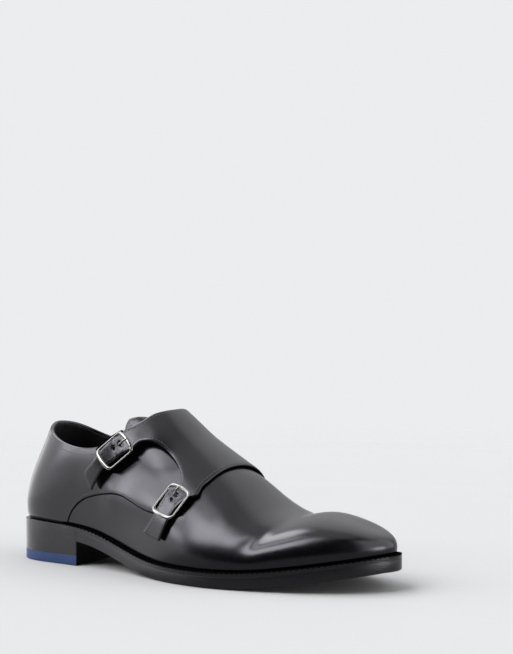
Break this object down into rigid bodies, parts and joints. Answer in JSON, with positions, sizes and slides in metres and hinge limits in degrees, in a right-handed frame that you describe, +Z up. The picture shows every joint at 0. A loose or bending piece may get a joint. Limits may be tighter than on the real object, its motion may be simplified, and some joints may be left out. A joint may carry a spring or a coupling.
{
  "type": "double monk-strap shoe",
  "caption": "Right men's dress shoe with a pointed almond toe, two buckled straps over the instep, a welted sole and a low stacked heel.",
  "frame": {"origin": "on the floor, under the middle of the bounding box", "axes": "+X towards the toe, +Y towards the inner (medial) side of the foot, +Z up"},
  "size_m": [0.2856, 0.1046, 0.1053],
  "materials": {
    "black_leather": "polished black calf",
    "tab_leather": "black leather",
    "sole_leather": "dark grey stained and burnished edge",
    "blue_rubber": "matt blue",
    "insole_leather": "black leather lining",
    "bright_metal": "polished nickel"
  },
  "bodies": {
    "root": {"heel_block": "sole_leather", "insole": "insole_leather", "lower_buckle": "bright_metal", "lower_buckle_tab": "tab_leather", "lower_prong": "bright_metal", "outsole": "sole_leather", "strap_saddle": "black_leather", "tongue": "black_leather", "top_lift": "blue_rubber", "upper": "black_leather", "upper_buckle": "bright_metal", "upper_buckle_tab": "tab_leather", "upper_prong": "bright_metal", "welt": "sole_leather"}
  },
  "joints": []
}
